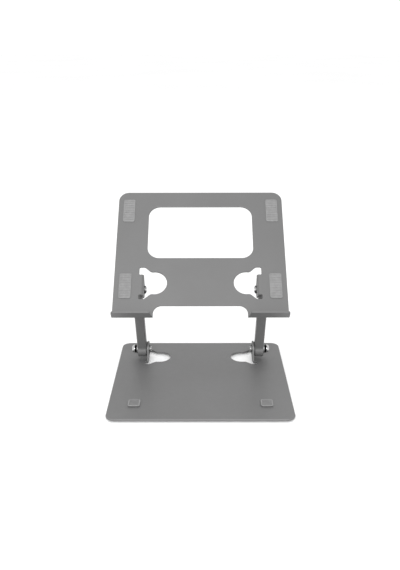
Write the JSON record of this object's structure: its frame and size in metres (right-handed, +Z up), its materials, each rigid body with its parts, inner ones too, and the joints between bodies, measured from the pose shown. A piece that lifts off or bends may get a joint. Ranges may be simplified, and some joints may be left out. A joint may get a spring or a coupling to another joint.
{
  "type": "laptop stand",
  "caption": "Folding sheet-metal laptop stand: flat base plate, side arms on friction hinges and a tilted top plate with front hooks and a ventilation window.",
  "frame": {"origin": "on the desk, under the middle of the base plate", "axes": "+X to the user's right along the hinge pins, +Y away from the user, +Z up"},
  "size_m": [0.205, 0.195, 0.2077],
  "materials": {
    "base_paint": "satin",
    "plate_paint": "satin",
    "arm_paint": "satin",
    "grey_rubber": "matte",
    "black_rubber": "matte",
    "bright_steel": "polished",
    "nut_steel": "satin",
    "steel_washer": "satin",
    "black_steel": "satin",
    "grey_washer": "matte",
    "bush_metal": "satin"
  },
  "bodies": {
    "base": {"base_plate": "base_paint", "base_pad_left": "grey_rubber", "front_foot_left": "black_rubber", "rear_foot_left": "black_rubber", "lower_bolt_left": "bright_steel", "lower_nut_left": "nut_steel", "lower_friction_washer_left": "grey_washer", "lower_steel_washer_left": "steel_washer", "lower_disc_springs_left": "black_steel", "base_pad_right": "grey_rubber", "front_foot_right": "black_rubber", "rear_foot_right": "black_rubber", "lower_bolt_right": "bright_steel", "lower_nut_right": "nut_steel", "lower_friction_washer_right": "grey_washer", "lower_steel_washer_right": "steel_washer", "lower_disc_springs_right": "black_steel"},
    "arms": {"left_arm": "arm_paint", "lower_bush_left": "bush_metal", "upper_bush_left": "bush_metal", "right_arm": "arm_paint", "lower_bush_right": "bush_metal", "upper_bush_right": "bush_metal"},
    "upper_bolts": {"upper_bolt_left": "bright_steel", "upper_nut_left": "nut_steel", "upper_friction_washer_left": "grey_washer", "upper_steel_washer_left": "steel_washer", "upper_disc_springs_left": "black_steel", "upper_bolt_right": "bright_steel", "upper_nut_right": "nut_steel", "upper_friction_washer_right": "grey_washer", "upper_steel_washer_right": "steel_washer", "upper_disc_springs_right": "black_steel"},
    "top": {"top_plate": "plate_paint", "hook_pad_left": "grey_rubber", "front_plate_pad_left": "grey_rubber", "rear_plate_pad_left": "grey_rubber", "hook_pad_right": "grey_rubber", "front_plate_pad_right": "grey_rubber", "rear_plate_pad_right": "grey_rubber"}
  },
  "joints": [
    {"name": "arm_fold", "type": "hinge", "parent": "base", "child": "arms", "pos_m": [0, 0.0538, 0.0167], "axis": [1, 0, 0], "range_deg": [-15, 65.1]},
    {"name": "plate_fold", "type": "hinge", "parent": "arms", "child": "upper_bolts", "pos_m": [0, 0.00925, 0.11267], "axis": [1, 0, 0], "range_deg": [-107.2, 24.78]},
    {"name": "plate_tilt", "type": "hinge", "parent": "upper_bolts", "child": "top", "pos_m": [0, 0.00925, 0.11267], "axis": [1, 0, 0], "range_deg": [0, 18]}
  ],
  "couplings": [
    {"joint": "plate_fold", "follows": "arm_fold", "ratio": -1.6452}
  ]
}
